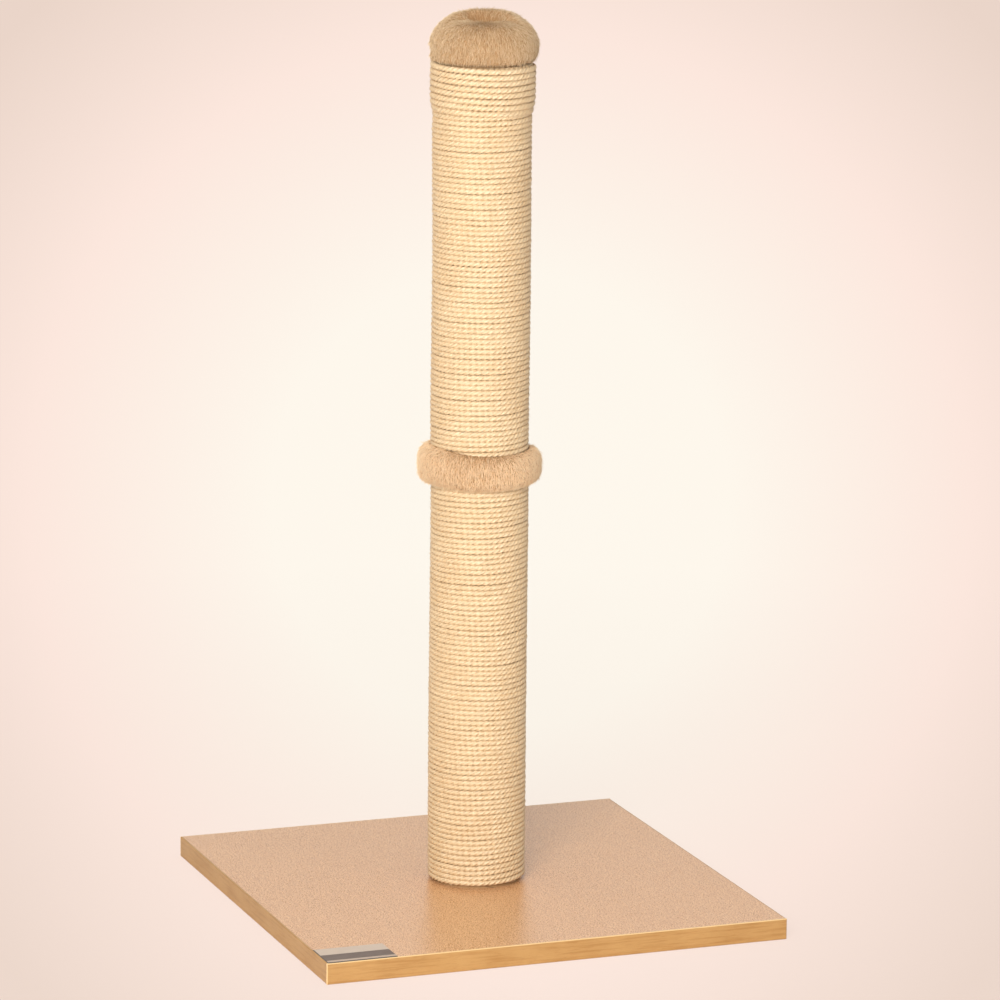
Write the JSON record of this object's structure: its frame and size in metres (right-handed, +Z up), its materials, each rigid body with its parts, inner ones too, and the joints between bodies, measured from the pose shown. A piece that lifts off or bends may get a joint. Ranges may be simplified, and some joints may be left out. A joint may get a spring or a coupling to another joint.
{
  "type": "cat scratching post",
  "caption": "Free-standing cat scratching post: square board base, rope-wound round post in two sections joined under a plush collar, and a plush dome cap.",
  "frame": {"origin": "centre of the base board's underside, on the floor", "axes": "+Z up along the post; -Y towards the front edge of the board; +X to the right"},
  "size_m": [0.5, 0.5, 0.941],
  "materials": {
    "melamine_board": "satin beige melamine over chipboard",
    "edge_band": "satin, golden wood tone",
    "label_paper": "blank, semi-gloss",
    "zinc_steel": "zinc plated",
    "cardboard": "bare",
    "chipboard": "raw, sawn",
    "sisal_rope": "three-strand laid fibre, matt",
    "foam": "open-cell padding",
    "plush": "short pile plush"
  },
  "bodies": {
    "root": {"base_board": "melamine_board", "edge_band_front": "edge_band", "edge_band_right": "edge_band", "edge_band_back": "edge_band", "edge_band_left": "edge_band", "base_label": "label_paper", "base_bolt": "zinc_steel", "washers": "zinc_steel", "lower_tube": "cardboard", "lower_tube_plugs": "chipboard", "lower_rope": "sisal_rope", "end_nuts": "zinc_steel", "joining_stud": "zinc_steel", "collar_disc": "chipboard", "collar_padding": "foam", "collar_plush": "plush", "upper_tube": "cardboard", "upper_tube_plugs": "chipboard", "upper_rope": "sisal_rope", "cap_disc": "chipboard", "cap_padding": "foam", "cap_plush": "plush", "cap_bolt": "zinc_steel"}
  },
  "joints": []
}
